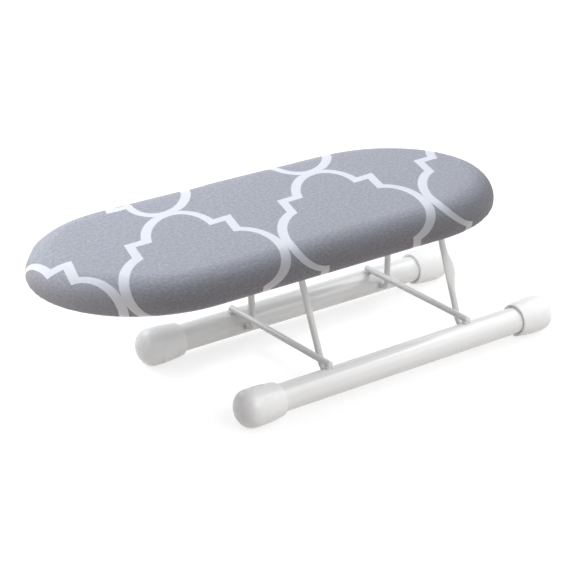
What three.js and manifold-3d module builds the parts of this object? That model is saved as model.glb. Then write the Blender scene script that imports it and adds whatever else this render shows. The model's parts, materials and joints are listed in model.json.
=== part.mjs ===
// Tabletop ironing board on a folding wire stand.
// Millimetres, +Z up. The board's nose points to -X and its tail to +X, and the stand's front tube is at -Y.
// The origin is on the table, under the middle of the whole object's length and width.
import * as THREE from 'three';
import { mergeVertices } from 'three/addons/utils/BufferGeometryUtils.js';
import Module from 'manifold-3d';

const wasm = await Module();
wasm.setup();

// Driving dimensions, in millimetres and degrees
const seatGap = 0.3; // clearance between pieces that rest on, or turn in, each other

const tubeDiameter = 25;
const tubeWall = 1;
const tubeLength = 358;
const tubeSpacing = 143.5; // between the axes of the two foot tubes

const capRimWall = 2.6; // wall at the cap's open end
const capBulge = 1.7; // how far the cap's body swells past its rim
const capRimRound = 1.4; // rounded edge of the rim
const capLand = 5; // straight stretch at the full diameter, which rests on the table
const capDome = 14; // depth of the rounded end
const capEndWall = 4.5; // between the tube's end and the tip of the dome
const capGrip = 37; // how far the cap reaches along the tube

const wireDiameter = 6; // legs and cross wires
const crossWireSpacing = 165; // between the two cross wires, which is also the pitch of the leg pivots
const weldWidth = 1.5; // how far a weld spreads to each side of its cross wire
const weldLength = 7;

const legLength = 130; // from the pivot in the tubes to the pivot under the board
const legLean = 12; // past upright towards the nose, where the leg rests on its cross wire
const legSplay = 9; // each side of the leg frame leans in by this much
const legBendRadius = 9; // on the wire's axis
const legFootClear = 1.1; // straight wire between the foot bend and the tube
const legEndClear = 3; // between the wire's end and the far wall inside the tube

const boardLength = 477;
const boardWidth = 182.5;
const boardDepth = 28; // from the ironing surface to the underside of the hem
const noseRound = 113; // length of the elliptical nose
const tailRound = 118; // length of the elliptical tail
const legShift = 79; // the legs' middle lies this far from the board's middle, towards the tail
const edgeRound = 25; // width of the padded edge, which curves down round the ironing surface
const edgeDrop = 20.5; // how far the padded edge curves down
const hemRound = 5.5; // fold of the cover under the board

const coverThickness = 1;
const hemWidth = 24; // from the board's outline to the inner edge of the hem
const elasticDiameter = 3;
const foamThickness = 10.2; // on the ironing surface
const foamSkirt = 6; // round the rim
const foamSkirtLift = 4; // the skirt ends this far above the bottom of the rim
const sheetThickness = 0.8;
const rimThickness = 1;

const ventDiameter = 12;
const ventPitch = 32;
const ventEdge = 9; // from the rim to the nearest vent hole

const clipThickness = 1.5;
const clipWidth = 14;
const clipBendClear = 1; // between the clip and the bend of the leg
const clipEdge = 1.5; // from the rivet head to the end of the clip
const rivetDiameter = 4;
const rivetHeadDiameter = 7.5;
const rivetHeadHeight = 1.9;

// Facets of the round forms
const tubeSides = 24;
const wireSides = 12;
const bendSteps = 6;
const domeSteps = 6;
const rimSteps = 3;
const edgeSteps = 6;
const hemSteps = 4;
const noseSteps = 24;
const tailSteps = 22;
const elasticSides = 6;
const ventSides = 10;
const rivetSides = 10;

// Places that follow from the driving dimensions. The stand's own middle is at x = 0 here.
const tubeRadius = tubeDiameter / 2;
const wireRadius = wireDiameter / 2;
const capBore = tubeRadius + seatGap;
const capRimRadius = capBore + capRimWall;
const capRadius = capRimRadius + capBulge;
const capLength = capGrip + seatGap + capEndWall;
const tubeHeight = capRadius; // the caps carry the stand on the table
const crossWireHeight = tubeHeight + tubeRadius + seatGap + wireRadius;

const lean = THREE.MathUtils.degToRad(legLean);
const splay = THREE.MathUtils.degToRad(legSplay);
const wireStandOff = wireDiameter + seatGap; // leg axis to cross wire axis, where the leg stops
const pivotAhead = (wireStandOff + (crossWireHeight - tubeHeight) * Math.sin(lean)) / Math.cos(lean);
const bendTangent = legBendRadius * Math.tan(Math.PI / 4 - splay / 2);
const legFootHalf = tubeSpacing / 2 - tubeRadius - legFootClear - bendTangent;
const legTopHalf = legFootHalf - legLength * Math.tan(splay);
const legEndHalf = tubeSpacing / 2 + tubeRadius - tubeWall - legEndClear;
const pivotHeight = tubeHeight + legLength * Math.cos(lean);
const pivotBack = legLength * Math.sin(lean); // how far the upper pivot lies towards the nose

const sheetBottom = pivotHeight + wireRadius + seatGap;
const sheetTop = sheetBottom + sheetThickness;
const foamTop = sheetTop + seatGap + foamThickness;
const boardTop = foamTop + seatGap + coverThickness;
const boardBottom = boardTop - boardDepth;
const rimBottom = boardBottom + coverThickness + seatGap;
const rimTop = sheetBottom - seatGap;
const foamInset = coverThickness + seatGap;
const rimInset = foamInset + foamSkirt + seatGap;

const legSides = [
  { end: 'nose', pivotX: -crossWireSpacing / 2 + pivotAhead, wireX: -crossWireSpacing / 2 },
  { end: 'tail', pivotX: crossWireSpacing / 2 + pivotAhead, wireX: crossWireSpacing / 2 },
];
const boardMiddle = pivotAhead - pivotBack - legShift;
const noseTip = boardMiddle - boardLength / 2;
const tailTip = boardMiddle + boardLength / 2;
const capEnd = tubeLength / 2 + seatGap + capEndWall;
const middle = (Math.min(noseTip, -capEnd) + Math.max(tailTip, capEnd)) / 2;

// Finishes
const paintedSteel = new THREE.MeshStandardMaterial({ color: 0xe9e9e6, roughness: 0.38, metalness: 0 });
const capPlastic = new THREE.MeshStandardMaterial({ color: 0xf1f1ef, roughness: 0.45, metalness: 0 });
const printedCotton = new THREE.MeshStandardMaterial({ color: 0xa3a4ad, roughness: 0.9, metalness: 0 });
const paddingFoam = new THREE.MeshStandardMaterial({ color: 0xe4e0d2, roughness: 0.95, metalness: 0 });
const elasticBraid = new THREE.MeshStandardMaterial({ color: 0xdcdcda, roughness: 0.9, metalness: 0 });
const sheetSteel = new THREE.MeshStandardMaterial({ color: 0xcfd1d2, roughness: 0.45, metalness: 0.6 });
const rivetSteel = new THREE.MeshStandardMaterial({ color: 0xb9bcbf, roughness: 0.3, metalness: 0.9 });

// Vertex radius of a polygon whose flats lie at the given radius
const acrossFlats = (radius, sides) => radius / Math.cos(Math.PI / sides);

function solid(geometry) {
  const bare = geometry.clone();
  bare.deleteAttribute('normal');
  bare.deleteAttribute('uv');
  const merged = mergeVertices(bare, 1e-4);
  return new wasm.Manifold(new wasm.Mesh({
    numProp: 3,
    vertProperties: new Float32Array(merged.attributes.position.array),
    triVerts: new Uint32Array(merged.index.array),
  }));
}

function geometryOf(body) {
  const mesh = body.getMesh();
  const geometry = new THREE.BufferGeometry();
  geometry.setAttribute('position', new THREE.BufferAttribute(mesh.vertProperties, mesh.numProp));
  geometry.setIndex(new THREE.BufferAttribute(mesh.triVerts, 1));
  geometry.computeVertexNormals();
  return geometry;
}

function part(name, geometry, material) {
  const mesh = new THREE.Mesh(geometry, material);
  mesh.name = name;
  return mesh;
}

// A round bar along X, Y or Z, centred on the origin
function bar(radius, length, sides, axis) {
  const geometry = new THREE.CylinderGeometry(radius, radius, length, sides);
  if (axis === 'x') geometry.rotateZ(Math.PI / 2);
  if (axis === 'z') geometry.rotateX(Math.PI / 2);
  return geometry;
}

// A wire bent at each corner of a polyline. Its stations are the ends and the steps round each bend.
class BentWire extends THREE.Curve {
  constructor(corners, radius) {
    super();
    this.points = [corners[0]];
    this.tangents = [corners[1].clone().sub(corners[0]).normalize()];
    for (let i = 1; i < corners.length - 1; i++) this.bend(corners[i], corners[i + 1], radius);
    this.points.push(corners.at(-1));
    this.tangents.push(this.tangents.at(-1).clone());
  }

  bend(corner, next, radius) {
    const arriving = this.tangents.at(-1);
    const leaving = next.clone().sub(corner).normalize();
    const turn = arriving.angleTo(leaving);
    const axis = arriving.clone().cross(leaving).normalize();
    const start = corner.clone().addScaledVector(arriving, -radius * Math.tan(turn / 2));
    const centre = start.clone().addScaledVector(axis.clone().cross(arriving), radius);
    const arm = start.clone().sub(centre);
    for (let step = 0; step <= bendSteps; step++) {
      const angle = (turn * step) / bendSteps;
      this.points.push(arm.clone().applyAxisAngle(axis, angle).add(centre));
      this.tangents.push(arriving.clone().applyAxisAngle(axis, angle));
    }
  }

  getUtoTmapping(u) {
    return u;
  }

  getPoint(t) {
    return this.points[Math.round(t * (this.points.length - 1))].clone();
  }

  getTangent(t) {
    return this.tangents[Math.round(t * (this.points.length - 1))].clone();
  }
}

function wireAlong(path) {
  const section = new THREE.Shape().absarc(0, 0, wireRadius, 0, 2 * Math.PI);
  return new THREE.ExtrudeGeometry(section, {
    steps: path.points.length - 1,
    extrudePath: path,
    curveSegments: wireSides / 2,
    bevelEnabled: false,
  });
}

// Points of the board's outline with their outward normals: an elliptical nose and tail with straight flanks
function outline() {
  const half = boardWidth / 2;
  const found = [];
  const addEnd = (centreX, reach, steps, way) => {
    for (let i = 0; i <= steps; i++) {
      const angle = -Math.PI / 2 + (Math.PI * i) / steps;
      const across = way * Math.sin(angle);
      const normal = new THREE.Vector2(way * Math.cos(angle) / reach, across / half).normalize();
      found.push({ x: centreX + way * reach * Math.cos(angle), y: half * across, normal });
    }
  };
  addEnd(tailTip - tailRound, tailRound, tailSteps, 1);
  addEnd(noseTip + noseRound, noseRound, noseSteps, -1);
  return found;
}
const boardOutline = outline();

const ring = ([inset, z]) => boardOutline.map(
  ({ x, y, normal }) => [x - inset * normal.x, y - inset * normal.y, z],
);

// Carries a section of [inset, z] points round the board's outline. A closed section makes a ring.
// An open one runs from the upper to the lower face of a plate or a shell, and both faces are filled in.
function roundTheBoard(section, closed) {
  const count = boardOutline.length;
  const points = section.flatMap(ring);
  const faces = [];
  const spans = closed ? section.length : section.length - 1;
  for (let row = 0; row < spans; row++) {
    const upper = row * count;
    const lower = ((row + 1) % section.length) * count;
    for (let i = 0; i < count; i++) {
      const j = (i + 1) % count;
      faces.push(upper + i, lower + i, upper + j, upper + j, lower + i, lower + j);
    }
  }
  if (!closed) {
    const first = points.length;
    const centreX = (noseTip + tailTip) / 2;
    points.push([centreX, 0, section[0][1]], [centreX, 0, section.at(-1)[1]]);
    const last = (section.length - 1) * count;
    for (let i = 0; i < count; i++) {
      const j = (i + 1) % count;
      faces.push(first, i, j, first + 1, last + j, last + i);
    }
  }
  const geometry = new THREE.BufferGeometry();
  geometry.setAttribute('position', new THREE.Float32BufferAttribute(points.flat(), 3));
  geometry.setIndex(faces);
  geometry.computeVertexNormals();
  return geometry;
}

// Quarter rounds of the padded edge and of the fold under the board, from the top down
function edgeArc(inset) {
  return Array.from({ length: edgeSteps + 1 }, (_, i) => {
    const angle = (Math.PI / 2) * (i / edgeSteps);
    return [
      edgeRound - (edgeRound - inset) * Math.sin(angle),
      boardTop - edgeDrop + (edgeDrop - inset) * Math.cos(angle),
    ];
  });
}
function hemArc(inset) {
  const radius = hemRound - inset;
  return Array.from({ length: hemSteps + 1 }, (_, i) => {
    const angle = (Math.PI / 2) * (i / hemSteps);
    return [hemRound - radius * Math.cos(angle), boardBottom + hemRound - radius * Math.sin(angle)];
  });
}

// Stand: two foot tubes, their caps, and the two wires welded across them
const sideways = [
  { side: 'front', y: -tubeSpacing / 2, inward: 1 },
  { side: 'rear', y: tubeSpacing / 2, inward: -1 },
];

function footTube({ side, y, inward }) {
  const outer = acrossFlats(tubeRadius, tubeSides);
  const inner = acrossFlats(tubeRadius - tubeWall, tubeSides);
  const half = tubeLength / 2;
  const wall = [[inner, -half], [outer, -half], [outer, half], [inner, half], [inner, -half]];
  const tube = new THREE.LatheGeometry(wall.map(([r, along]) => new THREE.Vector2(r, along)), tubeSides);
  tube.rotateY(Math.PI / tubeSides);
  tube.rotateZ(-Math.PI / 2);
  let body = solid(tube);
  const holeRadius = acrossFlats(wireRadius + seatGap, wireSides);
  for (const { pivotX } of legSides) {
    const hole = bar(holeRadius, 2 * tubeRadius, wireSides, 'y');
    hole.translate(pivotX, inward * tubeRadius, 0);
    body = body.subtract(solid(hole));
  }
  const mesh = part(`${side}_foot_tube`, geometryOf(body), paintedSteel);
  mesh.position.set(0, y, tubeHeight);
  return mesh;
}

function footCap({ side, y }, { end, way }) {
  const shoulder = capLength - capDome;
  const profile = [[0, capGrip + seatGap], [capBore, capGrip + seatGap], [capBore, 0]];
  for (let i = 0; i <= rimSteps; i++) {
    const angle = (Math.PI / 2) * (i / rimSteps);
    profile.push([
      capRimRadius - capRimRound * (1 - Math.sin(angle)),
      capRimRound * (1 - Math.cos(angle)),
    ]);
  }
  profile.push([capRadius, shoulder - capLand]);
  for (let i = 0; i <= domeSteps; i++) {
    const angle = (Math.PI / 2) * (i / domeSteps);
    profile.push([capRadius * Math.cos(angle), shoulder + capDome * Math.sin(angle)]);
  }
  const points = profile.map(([r, along]) => new THREE.Vector2(acrossFlats(r, tubeSides), along));
  points.at(-1).x = 0;
  const cap = new THREE.LatheGeometry(points, tubeSides);
  cap.rotateY(Math.PI / tubeSides);
  cap.rotateZ(-Math.PI / 2);
  const mesh = part(`${side}_${end}_cap`, cap, capPlastic);
  mesh.position.set(way * (tubeLength / 2 - capGrip), y, tubeHeight);
  if (way < 0) mesh.rotation.z = Math.PI;
  return mesh;
}

function crossWire({ end, wireX }) {
  let body = solid(bar(wireRadius, tubeSpacing, wireSides, 'y'));
  const tubeDrop = tubeHeight - crossWireHeight;
  for (const { y, inward } of sideways) {
    const weld = new THREE.SphereGeometry(1, wireSides, wireSides / 2);
    weld.scale(wireRadius + weldWidth, weldLength / 2, wireRadius);
    weld.translate(0, y + inward * weldLength / 2, -wireRadius);
    body = body.add(solid(weld));
  }
  for (const { y } of sideways) {
    const clearTube = bar(acrossFlats(tubeRadius + seatGap, tubeSides), tubeDiameter, tubeSides, 'x');
    clearTube.rotateX(Math.PI / tubeSides);
    clearTube.translate(0, y, tubeDrop);
    body = body.subtract(solid(clearTube));
  }
  const mesh = part(`${end}_cross_wire`, geometryOf(body), paintedSteel);
  mesh.position.set(wireX, 0, crossWireHeight);
  return mesh;
}

const stand = new THREE.Group();
for (const tube of sideways) {
  stand.add(footTube(tube));
  stand.add(footCap(tube, { end: 'nose', way: -1 }), footCap(tube, { end: 'tail', way: 1 }));
}
for (const leg of legSides) stand.add(crossWire(leg));

// Legs: one wire each, with its feet turned out into the tubes and its top bar under the board
function legFrame({ end, pivotX }) {
  const corners = [
    [-legEndHalf, 0], [-legFootHalf, 0], [-legTopHalf, legLength],
    [legTopHalf, legLength], [legFootHalf, 0], [legEndHalf, 0],
  ].map(([across, up]) => new THREE.Vector3(0, across, up));
  const mesh = part(`${end}_leg`, wireAlong(new BentWire(corners, legBendRadius)), paintedSteel);
  mesh.position.set(pivotX, 0, tubeHeight);
  mesh.rotation.y = -lean;
  return mesh;
}

// Clips: two steel straps over each leg's top bar, riveted to the sheet
const clipLoop = wireRadius + seatGap;
const clipOuter = clipLoop + clipThickness;
const clipReach = clipOuter + rivetHeadDiameter + 2 * clipEdge;
const rivetOffset = clipReach - clipEdge - rivetHeadDiameter / 2;
const clipOffset = legTopHalf - bendTangent - clipBendClear - clipWidth / 2;
const clipTop = sheetBottom - seatGap;
const loopDrop = clipTop - pivotHeight;
const clipPlaces = legSides.flatMap(({ end, pivotX }) => sideways.map(({ side, inward }) => ({
  name: `${end}_${side}`, x: pivotX - pivotBack, y: -inward * clipOffset,
})));
const rivetPlaces = clipPlaces.flatMap(({ name, x, y }) => [-1, 1].map((way) => ({
  name: `${name}_${way < 0 ? 'fore' : 'aft'}_rivet`, x: x + way * rivetOffset, y,
})));

function clip({ name, x, y }) {
  const strap = new THREE.Shape();
  strap.moveTo(-clipReach, 0);
  strap.lineTo(-clipReach, -clipThickness);
  strap.lineTo(-clipOuter, -clipThickness);
  strap.lineTo(-clipOuter, -loopDrop);
  strap.absarc(0, -loopDrop, clipOuter, Math.PI, 2 * Math.PI);
  strap.lineTo(clipOuter, -clipThickness);
  strap.lineTo(clipReach, -clipThickness);
  strap.lineTo(clipReach, 0);
  strap.lineTo(clipLoop, 0);
  strap.lineTo(clipLoop, -loopDrop);
  strap.absarc(0, -loopDrop, acrossFlats(clipLoop, 2 * wireSides), 2 * Math.PI, Math.PI, true);
  strap.lineTo(-clipLoop, 0);
  const band = new THREE.ExtrudeGeometry(strap, {
    depth: clipWidth,
    curveSegments: wireSides / 2,
    bevelEnabled: false,
  });
  band.translate(0, 0, -clipWidth / 2);
  band.rotateX(Math.PI / 2);
  let body = solid(band);
  for (const way of [-1, 1]) {
    const holeRadius = acrossFlats(rivetDiameter / 2 + seatGap, rivetSides);
    const hole = bar(holeRadius, 4 * clipThickness, rivetSides, 'z');
    hole.translate(way * rivetOffset, 0, 0);
    body = body.subtract(solid(hole));
  }
  const mesh = part(`${name}_clip`, geometryOf(body), sheetSteel);
  mesh.position.set(x, y, clipTop);
  return mesh;
}

// A domed head under the strap, with a shank that ends flush with the top of the sheet
function rivet({ name, x, y }) {
  const shank = rivetDiameter / 2;
  const head = rivetHeadDiameter / 2;
  const seat = clipTop - clipThickness - seatGap;
  const profile = [[0, seat - rivetHeadHeight], [head * 0.6, seat - rivetHeadHeight * 0.8],
    [head, seat - rivetHeadHeight * 0.25], [head, seat], [shank, seat], [shank, sheetTop], [0, sheetTop]];
  const turned = new THREE.LatheGeometry(profile.map(([r, z]) => new THREE.Vector2(r, z)), rivetSides);
  turned.rotateX(Math.PI / 2);
  const mesh = part(name, turned, rivetSteel);
  mesh.position.set(x, y, 0);
  return mesh;
}

// Board: perforated sheet on a steel rim, foam padding, and the cotton cover with its elastic hem
function perforatedSheet() {
  let body = solid(roundTheBoard([[rimInset, sheetTop], [rimInset, sheetBottom]], false));
  const holes = ventPlaces().map(({ x, y }) => ({ x, y, radius: ventDiameter / 2, sides: ventSides }));
  const rivetHole = acrossFlats(rivetDiameter / 2 + seatGap, rivetSides);
  holes.push(...rivetPlaces.map(({ x, y }) => ({ x, y, radius: rivetHole, sides: rivetSides })));
  for (const { x, y, radius, sides } of holes) {
    const hole = bar(radius, 4 * sheetThickness, sides, 'z');
    hole.translate(x, y, (sheetTop + sheetBottom) / 2);
    body = body.subtract(solid(hole));
  }
  return part('perforated_sheet', geometryOf(body), sheetSteel);
}

// Staggered rows of vent holes, clear of the rim and of the clips
function ventPlaces() {
  const rim = boardOutline.map(({ x, y }) => [x, y]);
  const margin = rimInset + rimThickness + ventEdge + ventDiameter / 2;
  const fromRim = (x, y) => Math.min(
    boardWidth / 2 - Math.abs(y),
    ...rim.map(([rimX, rimY]) => Math.hypot(x - rimX, y - rimY)),
  );
  const clearOfClips = (x, y) => clipPlaces.every((place) => (
    Math.abs(x - place.x) > clipReach + ventDiameter
    || Math.abs(y - place.y) > clipWidth / 2 + ventDiameter));
  const rows = Math.floor(boardWidth / 2 / ventPitch);
  const places = [];
  for (let row = -rows; row <= rows; row++) {
    const stagger = row % 2 === 0 ? 0 : ventPitch / 2;
    for (let x = noseTip + stagger; x < tailTip; x += ventPitch) {
      const y = row * ventPitch;
      if (fromRim(x, y) > margin && clearOfClips(x, y)) places.push({ x, y });
    }
  }
  return places;
}

function rimBand() {
  const inner = rimInset + rimThickness;
  const strip = [[rimInset, rimTop], [rimInset, rimBottom], [inner, rimBottom], [inner, rimTop]];
  return part('rim_band', roundTheBoard(strip, true), sheetSteel);
}

function foamPad() {
  const skirtBottom = rimBottom + foamSkirtLift;
  const inner = foamInset + foamSkirt;
  const section = [...edgeArc(foamInset), [foamInset, skirtBottom],
    [inner, skirtBottom], [inner, sheetTop + seatGap]];
  return part('foam_pad', roundTheBoard(section, false), paddingFoam);
}

function cottonCover() {
  const section = [...edgeArc(0), ...hemArc(0),
    [hemWidth, boardBottom], [hemWidth, boardBottom + coverThickness],
    ...hemArc(coverThickness).reverse(), ...edgeArc(coverThickness).reverse()];
  return part('cotton_cover', roundTheBoard(section, false), printedCotton);
}

function hemElastic() {
  const radius = elasticDiameter / 2;
  const inset = hemWidth - elasticDiameter;
  const z = boardBottom + coverThickness + seatGap + radius;
  const section = Array.from({ length: elasticSides }, (_, i) => {
    const angle = (2 * Math.PI * (i + 0.5)) / elasticSides;
    return [inset - radius * Math.sin(angle), z + radius * Math.cos(angle)];
  });
  return part('hem_elastic', roundTheBoard(section, true), elasticBraid);
}

const board = new THREE.Group();
board.add(perforatedSheet(), rimBand(), foamPad(), cottonCover(), hemElastic());
for (const place of clipPlaces) board.add(clip(place));
for (const place of rivetPlaces) board.add(rivet(place));

const ironingBoard = new THREE.Group();
ironingBoard.add(stand, board, ...legSides.map(legFrame));
ironingBoard.position.x = -middle;

export default ironingBoard;
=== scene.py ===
# Tabletop ironing board: a padded board in a printed cotton cover, on two wire legs that fold down between
# two foot tubes. Metres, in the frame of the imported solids: the nose points to -X, the tail to +X, and the
# table is z = 0.
import json
import math

import bmesh
import bpy
from mathutils import Matrix, Vector, noise

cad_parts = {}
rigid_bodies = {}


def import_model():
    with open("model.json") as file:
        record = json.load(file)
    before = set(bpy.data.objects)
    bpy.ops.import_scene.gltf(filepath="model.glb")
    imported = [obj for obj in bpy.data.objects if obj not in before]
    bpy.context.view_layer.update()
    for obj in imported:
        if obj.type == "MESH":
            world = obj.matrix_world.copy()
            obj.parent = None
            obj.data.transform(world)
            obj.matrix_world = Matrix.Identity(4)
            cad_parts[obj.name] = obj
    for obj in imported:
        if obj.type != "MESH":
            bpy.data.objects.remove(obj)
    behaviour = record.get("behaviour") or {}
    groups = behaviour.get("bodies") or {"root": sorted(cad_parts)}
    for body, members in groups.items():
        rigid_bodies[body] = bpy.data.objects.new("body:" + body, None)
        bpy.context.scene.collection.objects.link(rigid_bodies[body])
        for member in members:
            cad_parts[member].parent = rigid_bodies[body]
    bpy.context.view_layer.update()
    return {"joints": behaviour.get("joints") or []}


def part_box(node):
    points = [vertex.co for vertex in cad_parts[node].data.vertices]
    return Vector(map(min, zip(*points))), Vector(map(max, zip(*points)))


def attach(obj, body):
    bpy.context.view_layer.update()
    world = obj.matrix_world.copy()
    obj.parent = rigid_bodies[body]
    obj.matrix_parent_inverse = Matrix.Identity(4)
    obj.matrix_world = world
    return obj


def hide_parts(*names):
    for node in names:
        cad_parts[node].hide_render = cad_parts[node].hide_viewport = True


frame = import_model()


# Foot tubes: two lengths of 25 mm steel tube with a 1 mm wall, powder coated off-white after welding.
# The inner wall of each is drilled twice, and the turned-out ends of the legs pivot in those holes.
tube_wall = 0.001
tube_chamfer = 0.00025
tube_steps = 60
pivot_hole = 0.0033
pivot_x = [joint["pos_m"][0] for joint in frame["joints"] if joint["parent"] == "base"]


def add_node(tree, kind, values=None, **settings):
    """Adds a node. A value is a number, a colour or the socket that feeds the input."""
    node = tree.nodes.new(kind)
    for name, setting in settings.items():
        setattr(node, name, setting)
    for socket, value in (values or {}).items():
        if isinstance(value, bpy.types.NodeSocket):
            tree.links.new(value, node.inputs[socket])
        else:
            node.inputs[socket].default_value = value
    return node


def output_of(tree, kind, values=None, **settings):
    """Adds a node and returns its first output."""
    return add_node(tree, kind, values, **settings).outputs[0]


def calc(operation, *terms):
    """One Math node. A term is a number or a socket, and one of them is a socket."""
    tree = next(term for term in terms if isinstance(term, bpy.types.NodeSocket)).id_data
    return output_of(tree, "ShaderNodeMath", dict(enumerate(terms)), operation=operation)


def blend_colour(share, first, second):
    """The first colour where share is 0 and the second where it is 1."""
    ends = {6: first, 7: second}
    for socket, end in ends.items():
        if not isinstance(end, bpy.types.NodeSocket):
            ends[socket] = (*end, 1)
    return add_node(share.id_data, "ShaderNodeMix", {0: share, **ends}, data_type="RGBA").outputs[2]


def new_finish(name, roughness, metallic=0.0):
    """A Principled material. Returns it with its node tree and its shader."""
    material = bpy.data.materials.new(name)
    material.use_nodes = True
    shader = material.node_tree.nodes["Principled BSDF"]
    shader.inputs["Roughness"].default_value = roughness
    shader.inputs["Metallic"].default_value = metallic
    return material, material.node_tree, shader


def feed(shader, **sockets):
    for name, socket in sockets.items():
        shader.id_data.links.new(socket, shader.inputs[name.replace("_", " ")])


def add_bump(shader, height, distance):
    feed(shader, Normal=output_of(shader.id_data, "ShaderNodeBump", {"Height": height, "Distance": distance}))


def shader_group(name, inputs, outputs):
    """An empty group of values. Returns it with the sockets to take from and the sockets to feed."""
    tree = bpy.data.node_groups.new(name, "ShaderNodeTree")
    for label, value in inputs.items():
        tree.interface.new_socket(label, in_out="INPUT", socket_type="NodeSocketFloat").default_value = value
    for label in outputs:
        tree.interface.new_socket(label, in_out="OUTPUT", socket_type="NodeSocketFloat")
    return tree, tree.nodes.new("NodeGroupInput").outputs, tree.nodes.new("NodeGroupOutput").inputs


def use_group(tree, group, **values):
    node = add_node(tree, "ShaderNodeGroup", node_tree=group)
    for name, value in values.items():
        node.inputs[name].default_value = value
    return node.outputs


def object_place(tree):
    return add_node(tree, "ShaderNodeTexCoord").outputs["Object"]


def grain(at, scale, detail, roughness=0.5):
    """Noise over a surface. A larger scale is finer."""
    return output_of(at.id_data, "ShaderNodeTexNoise", {
        "Vector": at, "Scale": scale, "Detail": detail, "Roughness": roughness})


# Fine ripple and slow cloudiness of a sprayed, moulded or rolled surface
surface_skin, skin_in, skin_out = shader_group(
    "surface_skin", {"Ripple": 900.0, "Cloud": 30.0, "Stretch": 1.0}, ["Ripple", "Cloud", "Speck"])
place = object_place(surface_skin)
along = output_of(surface_skin, "ShaderNodeCombineXYZ", {0: skin_in["Stretch"], 1: 1.0, 2: 1.0})
drawn = output_of(surface_skin, "ShaderNodeVectorMath", {0: place, 1: along}, operation="MULTIPLY")
speck = grain(place, calc("MULTIPLY", skin_in["Ripple"], 0.45), 4.0)
skin_masks = {"Ripple": grain(drawn, skin_in["Ripple"], 1.5),
              "Cloud": grain(place, skin_in["Cloud"], 3.0),
              "Speck": output_of(surface_skin, "ShaderNodeMapRange", {0: speck, 1: 0.66, 2: 0.74})}
for label, mask in skin_masks.items():
    surface_skin.links.new(mask, skin_out[label])

powder_coat, tree, shader = new_finish("off_white_powder_coat", 0.3)
skin = use_group(tree, surface_skin, Ripple=520.0, Cloud=22.0)
paint = blend_colour(skin["Cloud"], (0.855, 0.86, 0.858), (0.89, 0.895, 0.893))
paint = blend_colour(skin["Speck"], paint, (0.84, 0.845, 0.843))
feed(shader, Base_Color=paint, Roughness=calc("MULTIPLY_ADD", skin["Ripple"], 0.10, 0.13))
shader.inputs["Coat Weight"].default_value = 0.4
shader.inputs["Coat Roughness"].default_value = 0.12
add_bump(shader, skin["Ripple"], 0.00006)


def even_steps(first, last, count):
    """Numbers from the first to the last, in even steps."""
    return [first + (last - first) * step / count for step in range(count + 1)]


def bridge(shape, near, far):
    """Faces between two rings of vertices. A ring can be one vertex, repeated."""
    for i in range(len(near)):
        j = (i + 1) % len(near)
        shape.faces.new(list(dict.fromkeys((near[i], near[j], far[j], far[i]))))


def turned(profile, sides=96):
    """Turns (along, radius) points about the X axis.
    A line that starts and ends on the axis gives a solid, and any other line a closed ring."""
    shape = bmesh.new()
    rings = []
    for along, radius in profile:
        if radius == 0:
            rings.append([shape.verts.new((along, 0, 0))] * sides)
            continue
        turns = even_steps(0, 2 * math.pi, sides)[:-1]
        rings.append([shape.verts.new((along, radius * math.cos(t), radius * math.sin(t))) for t in turns])
    if profile[0][1] > 0:
        rings.append(rings[0])
    for near, far in zip(rings, rings[1:]):
        bridge(shape, near, far)
    return shape


def new_object(name, data):
    thing = bpy.data.objects.new(name, data)
    bpy.context.collection.objects.link(thing)
    return thing


def closed_piece(name, shape, crease=40):
    """A smooth object from a shape, with its faces outwards and its creases kept sharp."""
    bmesh.ops.recalc_face_normals(shape, faces=shape.faces)
    mesh = bpy.data.meshes.new(name)
    shape.to_mesh(mesh)
    shape.free()
    mesh.shade_smooth()
    mesh.set_sharp_from_angle(angle=math.radians(crease))
    return new_object(name, mesh)


def set_in_place(shape, place, angle=0.0, axis="Z"):
    """Turns a shape about an axis through the origin, and then moves it."""
    bmesh.ops.rotate(shape, verts=shape.verts, matrix=Matrix.Rotation(angle, 3, axis))
    bmesh.ops.translate(shape, verts=shape.verts, vec=place)


def plain_mesh(thing):
    """The object with its modifiers applied, as a mesh of its own."""
    return bpy.data.meshes.new_from_object(thing.evaluated_get(bpy.context.evaluated_depsgraph_get()))


def apply_modifiers(thing):
    thing.data = plain_mesh(thing)
    thing.modifiers.clear()


def mount(thing, finish, body, slot, *nodes):
    """Gives a piece its finish and its body, and hides the solids that it stands for, if any. The slot is not
    used.
    """
    thing.data.materials.clear()
    thing.data.materials.append(finish)
    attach(thing, body)
    if nodes:
        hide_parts(*nodes)


for side, inward in (("front", 1), ("rear", -1)):
    low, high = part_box(f"{side}_foot_tube")
    tube_axis = (low + high) / 2
    tube_radius = (high.z - low.z) / 2
    run = even_steps(low.x + tube_chamfer, high.x - tube_chamfer, tube_steps)
    bore = tube_radius - tube_wall
    outer, inner = tube_radius - tube_chamfer, bore + tube_chamfer
    profile = [(x, tube_radius) for x in run] + [(high.x, outer), (high.x, inner)]
    profile += [(x, bore) for x in reversed(run)] + [(low.x, inner), (low.x, outer)]
    shape = turned(profile)
    set_in_place(shape, (0, tube_axis.y, tube_axis.z))
    tube = closed_piece(f"foot_tube_{side}", shape)
    for x in pivot_x:
        reach = 2 * tube_radius
        drill = turned([(0, 0), (0, pivot_hole), (reach, pivot_hole), (reach, 0)], sides=40)
        set_in_place(drill, (x, tube_axis.y, tube_axis.z), inward * math.pi / 2)
        cutter = closed_piece("drill", drill)
        cut = tube.modifiers.new("pivot_hole", "BOOLEAN")
        cut.object = cutter
        cut.solver = "EXACT"
        apply_modifiers(tube)
        bpy.data.objects.remove(cutter)
    tube.data.set_sharp_from_angle(angle=math.radians(40))
    mount(tube, powder_coat, "base", "painted_tube", f"{side}_foot_tube")


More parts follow.
